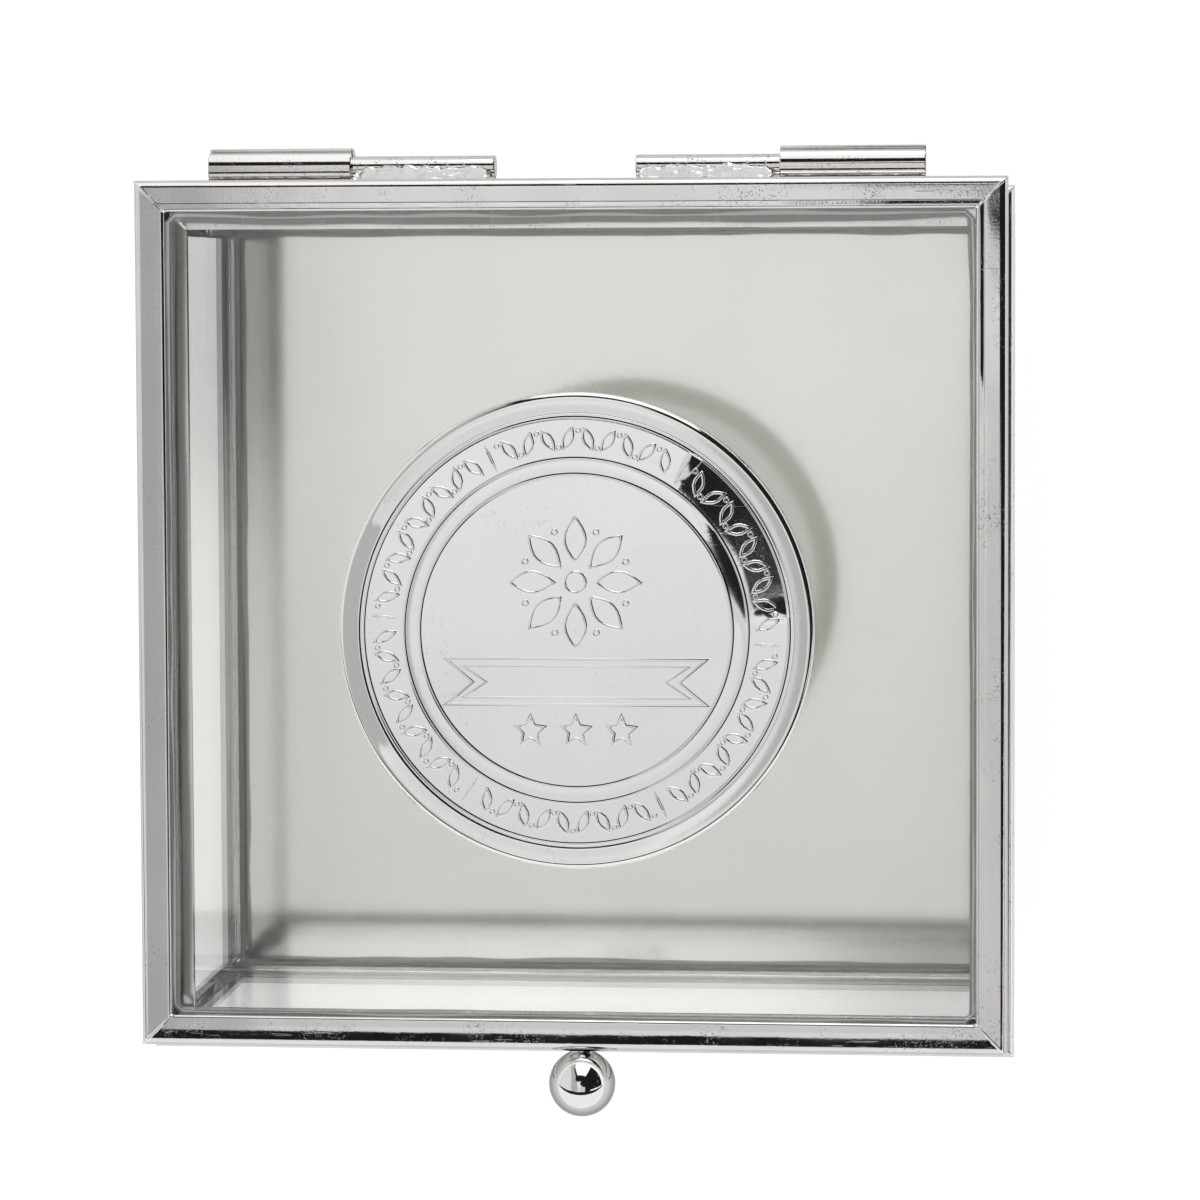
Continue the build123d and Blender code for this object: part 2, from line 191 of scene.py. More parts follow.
knobMetal = platedMetal("knobMetal", knobLook)
medallionMetal = platedMetal("medallionMetal", medallionLook)
solderMetal = platedMetal("solderMetal", solderLook)


def smearedGlass(tree, look):
    # Tint, haze and normal of glass and glue: a trace of smear in the polish, and slow waves
    place = objectPlace(tree)
    smear = noiseOf(tree, place, look["smearSize"], detail=4.0, rough=0.6)
    tint = mixColour(tree, remap(tree, smear, *look["smearFrom"]), look["colour"], look["smearColour"])
    haze = remap(tree, smear, *look["hazeFrom"], *look["roughness"])
    return tint, haze, bumpOf(tree, noiseOf(tree, place, look["waveSize"], detail=1.0), look["waveDepth"])


def clearSheet(name, look):
    # Glass that bends the light as a solid does
    material, tree, shader = newMaterial(name)
    tint, haze, bump = smearedGlass(tree, look)
    feed(tree, shader, {"Base Color": tint, "Roughness": haze, "Normal": bump, "Transmission Weight": 1.0,
                        "IOR": look["ior"]})
    return material


def thinSheet(name, look):
    # A pane face or skin of glue: straight through, with its own reflection, alike from both sides; milk is
    # the share of light that a cloudy one scatters, and steep slopes take the edge colour, on the glue a
    # painted shade
    material, tree, shader = newMaterial(name)
    tree.nodes.remove(shader)
    tint, haze, bump = smearedGlass(tree, look)
    facing = addNode(tree, "ShaderNodeLayerWeight", {"Blend": 0.5, "Normal": bump}).outputs["Facing"]
    # Steep slopes take the edge colour; on the glue this is painted shade
    tint = mixColour(tree, remap(tree, facing, *look["edgeFrom"]), tint, look["edgeColour"])
    through = addNode(tree, "ShaderNodeBsdfTransparent", {"Color": tint})
    through.name = "throughLight"
    sheen = addNode(tree, "ShaderNodeBsdfAnisotropic", {"Roughness": haze, "Normal": bump})
    # From the back Blender inverts the index, so it is inverted here too and both sides reflect alike
    back = addNode(tree, "ShaderNodeNewGeometry", {}).outputs["Backfacing"]
    ior = maths(tree, "SUBTRACT", look["ior"], maths(tree, "MULTIPLY", back, look["ior"] - 1 / look["ior"]))
    fresnel = addNode(tree, "ShaderNodeFresnel", {"IOR": ior, "Normal": bump})
    clear = addNode(tree, "ShaderNodeMixShader", {
        "Fac": fresnel.outputs["Fac"], 1: through.outputs["BSDF"], 2: sheen.outputs["BSDF"]})
    cloud = addNode(tree, "ShaderNodeBsdfDiffuse", {"Color": look["milkColour"], "Normal": bump})
    whole = addNode(tree, "ShaderNodeMixShader", {
        "Fac": look["milk"], 1: clear.outputs["Shader"], 2: cloud.outputs["BSDF"]})
    whole.name = "cloudShare"
    feed(tree, tree.nodes["Material Output"], {"Surface": whole.outputs["Shader"]})
    return material


def beadGlue(name, look, base):
    # Glue is a cloudy thin sheet with a painted highlight, a pale crest line of added cloud, and a painted
    # shade, a dark foot, by height over its base
    material = thinSheet(name, look)
    tree = material.node_tree
    height = addNode(tree, "ShaderNodeSeparateXYZ", {"Vector": objectPlace(tree)}).outputs["Z"]
    level = maths(tree, "SUBTRACT", height, base)
    away = maths(tree, "ABSOLUTE", maths(tree, "SUBTRACT", level, look["crestAt"]))
    # The crest line is a painted highlight
    crestHighlight = remap(tree, away, look["crestWide"], look["soft"] * look["crestWide"])
    share = maths(tree, "ADD", maths(tree, "MULTIPLY", crestHighlight, look["crestHighlightShare"]), look["milk"])
    feed(tree, tree.nodes["cloudShare"], {"Fac": share})
    through = tree.nodes["throughLight"]
    tint = through.inputs["Color"].links[0].from_socket
    # The dark foot is painted shade along the bead's contact line
    foot = remap(tree, level, look["footTall"], look["soft"] * look["footTall"])
    feed(tree, through, {"Color": mixColour(tree, foot, tint, look["footShadeColour"])})
    return material


lidGlassLook = {
    "colour": (0.993, 0.992, 0.987), "smearColour": (0.985, 0.984, 0.979), "ior": 1.5,
    "roughness": (0.0, 0.02), "smearSize": 14, "smearFrom": (0.3, 0.8), "hazeFrom": (0.55, 0.8),
    "waveSize": 30, "waveDepth": 0.004,
    "milk": 0.0, "milkColour": (0.9, 0.9, 0.89), "edgeFrom": (0.9, 1.0), "edgeColour": (0.97, 0.98, 0.965),
}
wallGlassLook = dict(lidGlassLook, waveDepth=0.006, colour=(0.985, 0.99, 0.98))
mirrorGlassLook = dict(lidGlassLook, waveDepth=0.0)
groundLook = dict(
    lidGlassLook, colour=(0.94, 0.96, 0.95), smearColour=(0.90, 0.93, 0.92), roughness=(0.10, 0.25),
    smearSize=1.5, waveSize=0.8, waveDepth=0.02)
glueLook = dict(
    lidGlassLook, colour=(0.97, 0.97, 0.96), smearColour=(0.94, 0.94, 0.92), ior=1.47,
    roughness=(0.02, 0.12), smearSize=1.5, waveSize=1.2, waveDepth=0.03,
    # The glue's edge colour is painted shade on its steep slopes
    milk=0.14, edgeFrom=(0.36, 0.92), edgeColour=(0.80, 0.80, 0.79),
    # The crest's added cloud is a painted highlight and the dark foot a painted shade
    crestAt=0.42 * mm, crestWide=0.05 * mm, crestHighlightShare=0.45,
    footTall=0.03 * mm, footShadeColour=(0.40, 0.40, 0.39), soft=0.3)
floorGlueLook = dict(
    # The floor glue's crest share and foot colour are the same painted highlight and painted shade
    glueLook, milk=0.12, edgeColour=(0.86, 0.86, 0.85), crestHighlightShare=0.3, footShadeColour=(0.45, 0.45, 0.44))
lidGlass = thinSheet("lidGlass", lidGlassLook)
wallGlass = clearSheet("wallGlass", wallGlassLook)
mirrorGlass = thinSheet("mirrorGlass", mirrorGlassLook)
groundGlass = clearSheet("groundGlass", groundLook)
clearGlue = beadGlue("clearGlue", glueLook, boxOf("lid_glass")[1].z * mm)
floorGlue = beadGlue("floorGlue", floorGlueLook, boxOf("mirror_floor")[1].z * mm)


def silverBacking(name, look):
    # Silver on the back of the mirror glass, with a trace of dulling
    material, tree, shader = newMaterial(name)
    mottle = noiseOf(tree, objectPlace(tree), look["mottleSize"], detail=4.0)
    feed(tree, shader, {"Base Color": mixColour(tree, mottle, look["colour"], look["shade"]),
                        "Roughness": remap(tree, mottle, *look["dullFrom"], *look["roughness"]),
                        "Metallic": 1.0})
    return material


def greyPaint(name, look):
    # Paint over the silver, seen from below and at the edges
    material, tree, shader = newMaterial(name)
    mottle = noiseOf(tree, objectPlace(tree), look["mottleSize"], detail=4.0)
    feed(tree, shader, {"Base Color": mixColour(tree, mottle, look["colour"], look["shade"]),
                        "Normal": bumpOf(tree, mottle, look["mottleDepth"]), "Roughness": look["roughness"]})
    return material


silverLook = {"colour": (0.90, 0.90, 0.885), "shade": (0.875, 0.875, 0.86), "roughness": (0.105, 0.125),
              "dullFrom": (0.5, 0.9), "mottleSize": 9}
paintLook = {"colour": (0.30, 0.31, 0.32), "shade": (0.24, 0.25, 0.26), "roughness": 0.6,
             "mottleSize": 1.2, "mottleDepth": 0.02}
silvering = silverBacking("silvering", silverLook)
backPaint = greyPaint("backPaint", paintLook)


def softSheet(name, look):
    # Felt and foam: fibres in the bump, a little sheen; the glow is painted light, an emission that lights the
    # foam pad's underside as the mirror shows it
    material, tree, shader = newMaterial(name)
    place = objectPlace(tree)
    fibre = noiseOf(tree, place, look["fibreSize"], detail=6.0, rough=0.7, distortion=1.5)
    clumps = remap(tree, noiseOf(tree, place, look["clumpSize"]), *look["clumpFrom"])
    tone = mixColour(tree, fibre, look["colour"], look["shade"])
    feed(tree, shader, {
        "Base Color": mixColour(tree, clumps, tone, look["clumpColour"]),
        "Normal": bumpOf(tree, fibre, look["fibreDepth"]), "Roughness": 0.95, "Sheen Weight": look["sheen"],
        "Sheen Roughness": 0.5, "Emission Color": (1, 1, 0.98), "Emission Strength": look["glow"]})
    return material


feltLook = {
    "colour": (0.020, 0.020, 0.021), "shade": (0.045, 0.045, 0.047), "clumpColour": (0.03, 0.03, 0.03),
    "fibreSize": 0.35, "fibreDepth": 0.15, "clumpSize": 3, "clumpFrom": (0.4, 0.7),
    "sheen": 0.4, "glow": 0.0,
}
# The pad's glow is painted light that brightens its underside where the mirror shows it
padLook = dict(
    feltLook, colour=(0.88, 0.88, 0.88), shade=(0.80, 0.80, 0.80), clumpColour=(0.84, 0.84, 0.84),
    fibreDepth=0.05, sheen=0.0, glow=0.36)
blackFelt = softSheet("blackFelt", feltLook)
foamPad = softSheet("foamPad", padLook)

slotMaterials = {
    "frame_metal": frameMetal, "hinge_metal": hingeMetal, "knob_metal": knobMetal,
    "medallion_metal": medallionMetal, "solder": solderMetal, "wall_glass": wallGlass,
    "lid_glass": lidGlass, "mirror_glass": mirrorGlass, "silvering": backPaint,
    "clear_glue": clearGlue, "felt": blackFelt,
}


def dressNodes():
    # Each CAD node takes its slot's material, apart from the pad and the base's strips, which take the frame
    # metal's lighter copy that paints light on them
    for part in frame["record"]["subparts"]:
        slots = cadNodes[part["node"]].data.materials
        slots.clear()
        slots.append(slotMaterials[part["material_slot"]])
        if part["node"].startswith(("base_bottom_frame", "base_top_frame")):
            slots[0] = paintedLightBaseMetal
    cadNodes["medallion_adhesive_pad"].data.materials[0] = foamPad
    print("CAD nodes dressed:", len(cadNodes))


dressNodes()


# Mesh helpers: every piece is shaped in millimetres and comes to metres when it is finished

mergeDistance = 0.0005


def linkObject(name, data):
    item = bpy.data.objects.new(name, data)
    bpy.context.scene.collection.objects.link(item)
    return item


def finishPiece(name, shape, body, replaced, materials, crease=35.0):
    bmesh.ops.scale(shape, verts=shape.verts, vec=(mm, mm, mm))
    bmesh.ops.recalc_face_normals(shape, faces=shape.faces)
    mesh = bpy.data.meshes.new(name)
    shape.to_mesh(mesh)
    shape.free()
    for material in materials:
        mesh.materials.append(material)
    mesh.shade_smooth()
    mesh.set_sharp_from_angle(angle=math.radians(crease))
    piece = linkObject(name, mesh)
    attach(piece, body)
    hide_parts(*replaced)
    return piece


def moveAll(shape, offset):
    bmesh.ops.translate(shape, verts=shape.verts, vec=offset)


def turnAll(shape, degrees, axis):
    bmesh.ops.rotate(shape, verts=shape.verts, cent=(0, 0, 0),
                     matrix=Matrix.Rotation(math.radians(degrees), 3, axis))


def bevelEdges(shape, edges, offset, segments=2):
    bmesh.ops.bevel(shape, geom=edges, offset=offset, segments=segments, profile=0.5, affect="EDGES",
                    material=-1, offset_type="OFFSET")


def sharpEdges(shape):
    # Edges where two faces meet at more than about 57 degrees
    return [edge for edge in shape.edges if edge.is_manifold and edge.calc_face_angle(0) > 1.0]


def spinChain(shape, points, axis, steps):
    # A chain of points is turned once round an axis through the origin
    chain = [shape.verts.new(point) for point in points]
    edges = [shape.edges.new(pair) for pair in zip(chain, chain[1:])]
    bmesh.ops.spin(shape, geom=chain + edges, cent=(0, 0, 0), axis=axis, angle=2 * math.pi, steps=steps,
                   use_merge=True)
    bmesh.ops.remove_doubles(shape, verts=shape.verts, dist=mergeDistance)


def pick(items, kind):
    return [item for item in items if isinstance(item, kind)]


def wander(seed, along, size):
    # A smooth random value from -1 to 1 that changes over a length of this size
    return noise.noise(Vector((seed * 7.31, along / size, seed * 1.7)))


def sweep(shape, profile, stations, closed=False):
    # A closed profile of (across, up) points is extruded from station to station; each is a matrix
    ring = [shape.verts.new((0, across, up)) for across, up in profile]
    edges = [shape.edges.new((a, b)) for a, b in zip(ring, ring[1:] + ring[:1])]
    bmesh.ops.transform(shape, matrix=stations[0], verts=ring)
    firstEdges, firstRing = list(edges), list(ring)
    for before, after in zip(stations, stations[1:]):
        grown = bmesh.ops.extrude_edge_only(shape, edges=edges)["geom"]
        ring = pick(grown, bmesh.types.BMVert)
        edges = [edge for edge in pick(grown, bmesh.types.BMEdge) if all(vert in ring for vert in edge.verts)]
        bmesh.ops.transform(shape, matrix=after @ before.inverted(), verts=ring)
    if closed:
        bmesh.ops.bridge_loops(shape, edges=firstEdges + edges)
    else:
        bmesh.ops.contextual_create(shape, geom=firstRing)
        bmesh.ops.contextual_create(shape, geom=ring)


# Glass panes with seamed edges

paneLook = {"seam": 0.25, "gap": 0.015}


def makePane(name, node, body, face, thin, backing=None):
    # thin is the axis of the pane's thickness; the two broad faces are polished, the rest is ground
    low, high = boxOf(node)
    shape = bmesh.new()
    bmesh.ops.create_cube(shape, size=1)
    bmesh.ops.scale(shape, verts=shape.verts, vec=(high - low) - Vector((2 * paneLook["gap"],) * 3))
    moveAll(shape, (low + high) / 2)
    bevelEdges(shape, list(shape.edges), paneLook["seam"], segments=1)
    shape.normal_update()
    for side in shape.faces:
        broad = abs(side.normal[thin]) > 0.99
        side.material_index = 0 if broad else 1
        if backing and broad and side.normal[thin] < 0:
            side.material_index = 2
    materials = [face, groundGlass] + ([backing] if backing else [])
    return finishPiece(name, shape, body, [node], materials, crease=5.0)


makePane("lidPane", "lid_glass", "lid", lidGlass, 2)
for side, thin in (("front", 1), ("back", 1), ("left", 0), ("right", 0)):
    makePane("wallPane_" + side, "wall_glass_" + side, "base", wallGlass, thin)
makePane("mirrorPane", "mirror_floor", "base", mirrorGlass, 2, silvering)
print("glass panes made")


# Lid frame: folded channel strips with a rolled outer edge, mitred at both ends

channelPlan = {
    "roll": 0.85, "rollSteps": 10, "rollTurn": 83.0, "gauge": 0.60, "lip": 0.65, "step": 0.6,
    "wobble": 0.006, "wobbleSize": 9.0, "crownEnd": 2.15, "crownSteps": 7, "crownBend": 1.4,
    "crowns": {"front": 0.135, "left": 0.075, "back": 0.045, "right": 0.012},
    # Distance in from the outer face, and the share of the crease's depth there
    "creaseShape": [(2.20, 0.0), (2.36, 0.0), (2.40, 0.25), (2.45, 1.0), (2.49, 0.98), (2.54, 0.85),
                    (2.82, 0.13), (2.90, 0.0)],
    "crease": {"front": 0.0, "left": 0.0, "back": 0.027, "right": 0.034}, "creaseSpan": (2.40, 2.90),
    "creaseFrom": {"back": -60.0, "right": 20.0}, "creaseFade": 6.0,
    "ragged": 0.006, "raggedSize": 0.7, "raggedAcross": 3.0, "raggedSeed": 4.0,
    "inner": [(2.92, -0.001), (3.04, -0.018), (3.15, -0.07), (3.24, -0.16), (3.29, -0.28)],
    # Rounded lower edges: distance from the face beside them, and height over the underside
    "footInner": [(0.0, 0.25), (0.12, 0.06), (0.3, 0.0)],
    "footOuter": [(0.5, 0.0), (0.2, 0.07), (0.05, 0.25), (0.0, 0.5)],
}


def channelProfile(plan, crown, crease, width, tall):
    # Closed section as (distance in from the outer face, height under the top), from the outer wall on
    roll, lip, gauge = plan["roll"], plan["lip"], plan["gauge"]
    rollTurn = math.radians(plan["rollTurn"])
    rollWidth = roll * (1 - math.cos(rollTurn))
    points = []
    for step in range(plan["rollSteps"]):
        angle = rollTurn * step / plan["rollSteps"]
        points.append((roll * (1 - math.cos(angle)), -crown - roll * (1 - math.sin(angle))))
    for step in range(plan["crownSteps"]):
        share = 1 - step / plan["crownSteps"]
        across = plan["crownEnd"] - (plan["crownEnd"] - rollWidth) * share
        points.append((across, -crown * share ** plan["crownBend"]))
    points += [(across, -share * crease) for across, share in plan["creaseShape"]]
    points += plan["inner"]
    points += [(width, -lip), (gauge, -lip), (gauge, lip - tall), (width, lip - tall)]
    points += [(width - across, up - tall) for across, up in plan["footInner"]]
    return points + [(across, up - tall) for across, up in plan["footOuter"]]


def fadeCrease(shape, plan, side, outer, top):
    # The crease dies away along the strip, and its floor is ragged
    start, end = plan["creaseSpan"]
    for vert in shape.verts:
        x, y, z = vert.co
        if start < y - outer < end and z > top - 0.1:
            ragged = noise.noise(Vector((x / plan["raggedSize"], y * plan["raggedAcross"], plan["raggedSeed"])))
            share = min(max((x - plan["creaseFrom"][side]) / plan["creaseFade"], 0), 1)
            vert.co.z = top + share * (z - top + plan["ragged"] * ragged)


def makeChannel(side, turn):
    # The strip is drawn along x in front of the lid's middle, cut at 45 degrees, then turned to its side
    plan = channelPlan
    frontLow, frontHigh = boxOf("lid_frame_front")
    backHigh = boxOf("lid_frame_back")[1]
    middle = Vector(((frontLow.x + frontHigh.x) / 2, (frontLow.y + backHigh.y) / 2, 0))
    half = (backHigh.y - frontLow.y) / 2
    width = frontHigh.y - frontLow.y
    top = frontHigh.z
    shape = bmesh.new()
    count = round(2 * half / plan["step"])
    stations = []
    for index in range(count + 1):
        along = -half + 2 * half * index / count
        lift = plan["wobble"] * (wander(len(side), along, plan["wobbleSize"]) - 1)
        stations.append(Matrix.Translation((along, -half, top)) @ Matrix.Diagonal((1, 1, 1 + lift, 1)))
    crease = plan["crease"][side]
    sweep(shape, channelProfile(plan, plan["crowns"][side], crease, width, top - frontLow.z), stations)
    if crease:
        fadeCrease(shape, plan, side, -half, top)
    for sign in (-1, 1):
        geometry = [*shape.verts, *shape.edges, *shape.faces]
        cut = bmesh.ops.bisect_plane(shape, geom=geometry, plane_co=(0, 0, 0), plane_no=(sign, 1, 0),
                                     clear_outer=True)["geom_cut"]
        bmesh.ops.contextual_create(shape, geom=pick(cut, bmesh.types.BMEdge))
    turnAll(shape, turn, "Z")
    moveAll(shape, middle)
    return finishPiece("lidChannel_" + side, shape, "lid", ["lid_frame_" + side], [frameMetal],
                       crease=32.0)


for side, turn in (("front", 0), ("right", 90), ("back", 180), ("left", 270)):
    makeChannel(side, turn)
print("lid frame made")


# Glue beads, run by hand round the inside of the lid frame and of the walls

# Section of a bead one wide and one high: (distance in from the frame, height over the glass)
beadProfile = [(-0.06, -0.03), (-0.06, 1.0), (0.06, 0.98), (0.22, 0.93), (0.40, 0.88), (0.50, 0.78),
               (0.60, 0.60), (0.72, 0.42), (0.84, 0.27), (0.93, 0.15), (0.985, 0.05), (1.0, -0.03)]
# Widths go round from the front: front, right, back, left. Each eases into the next over the share "ease"
lidBeadLook = {"widths": (0.70, 0.60, 1.25, 0.90), "height": 0.50, "cornerRadius": 1.1, "step": 1.2,
               "uneven": 0.22, "blotch": 9.0, "ease": 0.08}
floorBeadLook = dict(lidBeadLook, widths=(0.42, 0.42, 0.42, 0.42), height=0.36, cornerRadius=0.6, uneven=0.45,
                     blotch=6.0)


def beadStations(low, high, look, seed):
    # Once round a rectangle, left side of travel facing in, with rounded inner corners
    middle = (low + high) / 2
    half = (high - low) / 2
    widths, ease = look["widths"], look["ease"]
    stations = []
    travelled = 0.0
    for quarter in range(4):
        ahead, aside = (half.x, half.y) if quarter % 2 == 0 else (half.y, half.x)
        spin = Matrix.Rotation(math.pi / 2 * quarter, 4, "Z")
        straight = 2 * ahead - 2 * look["cornerRadius"]
        count = round(straight / look["step"])
        own, coming, gone = widths[quarter], widths[(quarter + 1) % 4], widths[quarter - 1]
        for index in range(count + 1):
            along = -ahead + look["cornerRadius"] + straight * index / count
            travelled += look["step"]
            share = index / count
            width = own + max(0.0, share - (1 - ease)) / (2 * ease) * (coming - own)
            width += max(0.0, ease - share) / (2 * ease) * (gone - own)
            width *= 1 + look["uneven"] * wander(seed, travelled, look["blotch"])
            height = look["height"] * (1 + 0.5 * look["uneven"] * wander(seed + 3, travelled, look["blotch"]))
            place = spin @ Vector((along, -aside, 0)) + Vector((middle.x, middle.y, low.z))
            stations.append(Matrix.Translation(place) @ spin @ Matrix.Diagonal((1, width, height, 1)))
    return stations


def makeBead(name, node, body, look, seed, glue):
    shape = bmesh.new()
    sweep(shape, beadProfile, beadStations(*boxOf(node), look, seed), closed=True)
    return finishPiece(name, shape, body, [node], [glue], crease=60.0)


makeBead("lidGlueBead", "lid_glue_bead", "lid", lidBeadLook, 1, clearGlue)
makeBead("floorGlueBead", "floor_glue_bead", "base", floorBeadLook, 2, floorGlue)
print("glue beads made")


# Medallion: a turned disc with stamped lines, stars, a bare ribbon, a rosette and a border of leaves

medallionPlan = {
    "sides": 180, "thick": 1.2, "line": 0.32, "rise": 0.13, "sink": 0.04, "round": 0.42, "flatten": 0.5,
    "ribbon": {"centre": (0.0, -5.25), "length": 27.8, "height": 5.0, "notch": 3.0, "line": 0.34,
               "lineGap": 0.80, "innerLine": 0.22},
    "stars": {"count": 3, "pitch": 4.7, "level": -10.3, "outer": 1.95, "inner": 0.92, "line": 0.30},
    "rosette": {"centre": (0.0, 5.0), "petals": 8, "near": 1.9, "far": 7.0, "width": 2.5, "hub": 1.25,
                "budsAt": 5.6, "bud": 0.42, "budLine": 0.20},
    "border": {"parts": 6, "leaves": 9, "start": 56.0, "radius": 19.75, "length": 2.95, "width": 1.30,
               "lean": 24.0, "budsAside": 0.85, "bud": 0.34, "budLine": 0.17,
               "barLength": 3.1, "barWidth": 0.42, "barLine": 0.16},
    # Sectors that tilt outwards, towards the studio's dark gaps: where each begins and ends and how far its
    # edges fade, in degrees; its depth; and the radii where it begins, is full and ends
    "dips": [(5.0, 56.0, 1.6, 0.40, 17.95, 21.8, 22.0), (-6.0, 50.0, 24.0, 0.17, 16.3, 17.6, 17.62),
             (146.0, 216.0, 13.0, 0.26, 22.54, 23.9, 25.0), (204.0, 300.0, 20.0, 0.10, 22.54, 23.9, 25.0)],
    "underside": -0.5, "wrapAt": -60.0,
}

# Radius and height over the sunk field, from the centre out; close pairs of rings keep the flats flat
discProfile = [
    (0.0, 0.0), (8.0, 0.0), (15.90, 0.0), (15.94, 0.0), (16.02, 0.045), (16.12, 0.06), (16.22, 0.045),
    (16.30, 0.0), (16.34, 0.001), (16.60, 0.010), (16.95, 0.014), (17.30, 0.010), (17.52, 0.001), (17.56, 0.0),
    (17.64, 0.045), (17.74, 0.06), (17.84, 0.045), (17.92, 0.0), (17.96, 0.0), (18.6, 0.0), (19.3, 0.0),
    (20.0, 0.0), (20.7, 0.0), (21.3, 0.0), (21.72, 0.0), (21.76, 0.0), (21.85, 0.045), (21.94, 0.055),
    (22.03, 0.045), (22.12, 0.0), (22.16, 0.0), (22.24, 0.0), (22.28, 0.0), (22.36, 0.045), (22.45, 0.070),
    (22.54, 0.075), (22.62, 0.081), (22.9, 0.099), (23.2, 0.122), (23.5, 0.150), (23.82, 0.187), (23.88, 0.191),
    (23.94, 0.190), (24.02, 0.185), (24.14, 0.165), (24.26, 0.127), (24.36, 0.072), (24.45, -0.005),
    (24.52, -0.11), (24.55, -0.25),
    (24.55, -1.05), (24.50, -1.15), (24.40, -1.2), (24.2, -1.2), (0.0, -1.2),
]


def raisedLine(shape, outline, width, plan):
    # A stamped line along the inside of a closed outline, rounded on top
    corners = [shape.verts.new((x, y, -plan["sink"])) for x, y in outline]
    edges = [shape.edges.new(pair) for pair in zip(corners, corners[1:] + corners[:1])]
    face = bmesh.ops.contextual_create(shape, geom=edges)["faces"][0]
    band = bmesh.ops.inset_individual(shape, faces=[face], thickness=width, use_even_offset=True)["faces"]
    bmesh.ops.delete(shape, geom=[face], context="FACES")
    grown = bmesh.ops.extrude_face_region(shape, geom=band)["geom"]
    tops = pick(grown, bmesh.types.BMFace)
    bmesh.ops.translate(shape, verts=list({vert for top in tops for vert in top.verts}),
                        vec=(0, 0, plan["rise"] + plan["sink"]))
    rims = {edge for top in tops for edge in top.edges if sum(other in tops for other in edge.link_faces) == 1}
    bevelEdges(shape, list(rims), width * plan["round"])


def polar(radius, degrees, centre=(0.0, 0.0)):
    angle = math.radians(degrees)
    return centre[0] + radius * math.cos(angle), centre[1] + radius * math.sin(angle)


def leafOutline(length, width, corners=5):
    # A pointed oval along x, centred
    upper = [(length * (step / corners - 0.5), width / 2 * math.sin(math.pi * step / corners))
             for step in range(corners + 1)]
    return upper + [(x, -y) for x, y in reversed(upper[1:-1])]


def starOutline(outer, inner):
    return [polar(inner if step % 2 else outer, 90 + 36 * step) for step in range(10)]


def ribbonOutline(plan, inset=0.0):
    # A bar with a notch cut into both ends; the slanted ends need more inset to keep the line's gap
    x = plan["length"] / 2 - inset * 2.4
    y = plan["height"] / 2 - inset
    notch = x - plan["notch"] + inset * 0.6
    return [(-x, -y), (x, -y), (notch, 0), (x, y), (-x, y), (-notch, 0)]


def roundOutline(radius, corners=8):
    return [polar(radius, 360 * step / corners) for step in range(corners)]


def addLine(shape, outline, place, turn=0.0, width=None):
    # The line is stamped at the middle of the disc, then flattened, turned and moved to its place
    plan = medallionPlan
    known = set(shape.verts)
    raisedLine(shape, outline, width or plan["line"], plan)
    fresh = [vert for vert in shape.verts if vert not in known]
    matrix = Matrix.Translation((*place, 0)) @ Matrix.Rotation(math.radians(turn), 4, "Z")
    bmesh.ops.transform(shape, matrix=matrix @ Matrix.Diagonal((1, 1, plan["flatten"], 1)), verts=fresh)


def addRosette(shape, plan):
    middle = (plan["near"] + plan["far"]) / 2
    petal = leafOutline(plan["far"] - plan["near"], plan["width"], 8)
    for index in range(plan["petals"]):
        turn = 360 / plan["petals"] * index
        addLine(shape, petal, polar(middle, turn, plan["centre"]), turn)
        bud = polar(plan["budsAt"], turn + 180 / plan["petals"], plan["centre"])
        addLine(shape, roundOutline(plan["bud"]), bud, width=plan["budLine"])
    addLine(shape, roundOutline(plan["hub"], 14), plan["centre"])


def addBorder(shape, plan):
    # A bar divides the parts, and leaves lean in and out by turns with a bud beside each
    bar = leafOutline(plan["barLength"], plan["barWidth"], 3)
    leaf = leafOutline(plan["length"], plan["width"])
    sector = 360 / plan["parts"]
    for part in range(plan["parts"]):
        first = plan["start"] + sector * part
        addLine(shape, bar, polar(plan["radius"], first), first, width=plan["barLine"])
        for index in range(plan["leaves"]):
            angle = first + sector * (index + 1) / (plan["leaves"] + 1)
            sign = 1 if index % 2 == 0 else -1
            addLine(shape, leaf, polar(plan["radius"], angle), angle + sign * plan["lean"])
            bud = polar(plan["radius"] + sign * plan["budsAside"], angle + sector / 2 / (plan["leaves"] + 1))
            addLine(shape, roundOutline(plan["bud"]), bud, width=plan["budLine"])


def dipVerts(shape, plan, dip):
    # A sector of a ring is tilted outwards: its inner edge stays, and its outer edge and what is beyond go down
    start, end, edge, depth, inner, outer, rest = dip
    for vert in shape.verts:
        x, y, z = vert.co
        radius = math.hypot(x, y)
        if not inner < radius < rest or z < plan["underside"]:
            continue
        angle = math.degrees(math.atan2(y, x))
        if angle < plan["wrapAt"]:
            angle += 360
        into = max(0.0, min(1.0, (angle - start) / edge, (end - angle) / edge))
        across = min(1.0, (radius - inner) / (outer - inner))
        vert.co.z -= depth * across * into * into * (3 - 2 * into)


